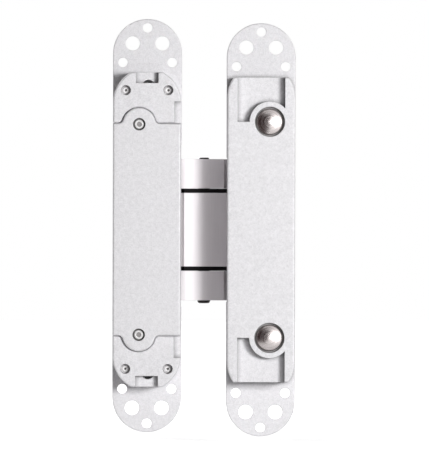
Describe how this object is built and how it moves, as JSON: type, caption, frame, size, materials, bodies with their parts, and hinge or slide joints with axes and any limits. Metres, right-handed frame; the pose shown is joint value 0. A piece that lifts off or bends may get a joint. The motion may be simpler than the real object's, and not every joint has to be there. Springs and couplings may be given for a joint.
{
  "type": "concealed door hinge",
  "caption": "Concealed door hinge with two mortise leaves joined by crossing arms on a knuckle pin, with height and side adjustment, shown fully open.",
  "frame": {"origin": "middle of the frame leaf's screw pattern, on the rear face of its plate", "axes": "+Z along the pins, up; +X from the frame leaf to the door leaf; +Y out of the mortises"},
  "size_m": [0.0795, 0.0419, 0.1817],
  "materials": {
    "satin_paint": "fine-grained satin silver",
    "arm_metal": "satin",
    "plain_casting": "satin",
    "pin_steel": "ground",
    "screw_steel": "zinc plated",
    "polished_steel": "polished",
    "spring_steel": "blackened",
    "bronze": "plain bearing",
    "black_plastic": "matt"
  },
  "bodies": {
    "frame_plate": {"frame_plate": "satin_paint"},
    "frame_body": {"frame_housing": "satin_paint", "frame_back_cover": "satin_paint", "frame_upper_cap": "satin_paint", "frame_lower_cap": "satin_paint", "clamp_screws": "screw_steel", "cover_screws": "screw_steel", "frame_pivot_pin": "pin_steel", "frame_slot_liners": "black_plastic"},
    "fork_arm": {"fork_upper_link": "arm_metal", "fork_lower_link": "arm_metal", "fork_pivot_bushes": "bronze", "knuckle_pin": "pin_steel", "fork_slide_pin": "pin_steel", "fork_glides": "black_plastic"},
    "middle_arm": {"middle_link": "arm_metal", "knuckle_bushes": "bronze", "middle_pivot_bushes": "bronze", "upper_spacer": "black_plastic", "lower_spacer": "black_plastic", "middle_slide_pin": "pin_steel", "middle_glides": "black_plastic"},
    "door_carriage": {"door_carriage": "plain_casting", "door_pivot_pin": "pin_steel", "door_slot_liners": "black_plastic"},
    "door_leaf": {"door_housing": "satin_paint"},
    "upper_screw": {"upper_side_screw": "polished_steel", "upper_screw_clip": "spring_steel"},
    "lower_screw": {"lower_side_screw": "polished_steel", "lower_screw_clip": "spring_steel"}
  },
  "joints": [
    {"name": "height_adjust", "type": "slide", "parent": "frame_plate", "child": "frame_body", "axis": [0, 0, 1], "range_m": [-0.0003, 0.0037]},
    {"name": "frame_pivot", "type": "hinge", "parent": "frame_body", "child": "fork_arm", "pos_m": [0.00965, -0.0055, -0.0017], "axis": [0, 0, 1], "range_deg": [0, 104.07]},
    {"name": "knuckle", "type": "hinge", "parent": "fork_arm", "child": "middle_arm", "pos_m": [0.02475, 0.0095, -0.0017], "axis": [0, 0, 1], "range_deg": [-28.15, 0.01]},
    {"name": "door_pivot", "type": "hinge", "parent": "middle_arm", "child": "door_carriage", "pos_m": [0.03985, -0.0055, -0.0017], "axis": [0, 0, 1], "range_deg": [0, 104.07]},
    {"name": "side_adjust", "type": "slide", "parent": "door_carriage", "child": "door_leaf", "axis": [0, 1, 0], "range_m": [-0.0015, 0.0015]},
    {"name": "upper_screw_turn", "type": "hinge", "parent": "door_leaf", "child": "upper_screw", "pos_m": [0.0532, 0, 0.0451], "axis": [0, 1, 0], "range_deg": [-432.5, 432.5]},
    {"name": "lower_screw_turn", "type": "hinge", "parent": "door_leaf", "child": "lower_screw", "pos_m": [0.0532, 0, -0.0485], "axis": [0, 1, 0], "range_deg": [-432.5, 432.5]}
  ],
  "couplings": [
    {"joint": "knuckle", "follows": "frame_pivot", "ratio": -0.27042},
    {"joint": "door_pivot", "follows": "frame_pivot", "ratio": 1},
    {"joint": "upper_screw_turn", "follows": "side_adjust", "rad_per_m": 5026.5},
    {"joint": "lower_screw_turn", "follows": "side_adjust", "rad_per_m": 5026.5}
  ]
}
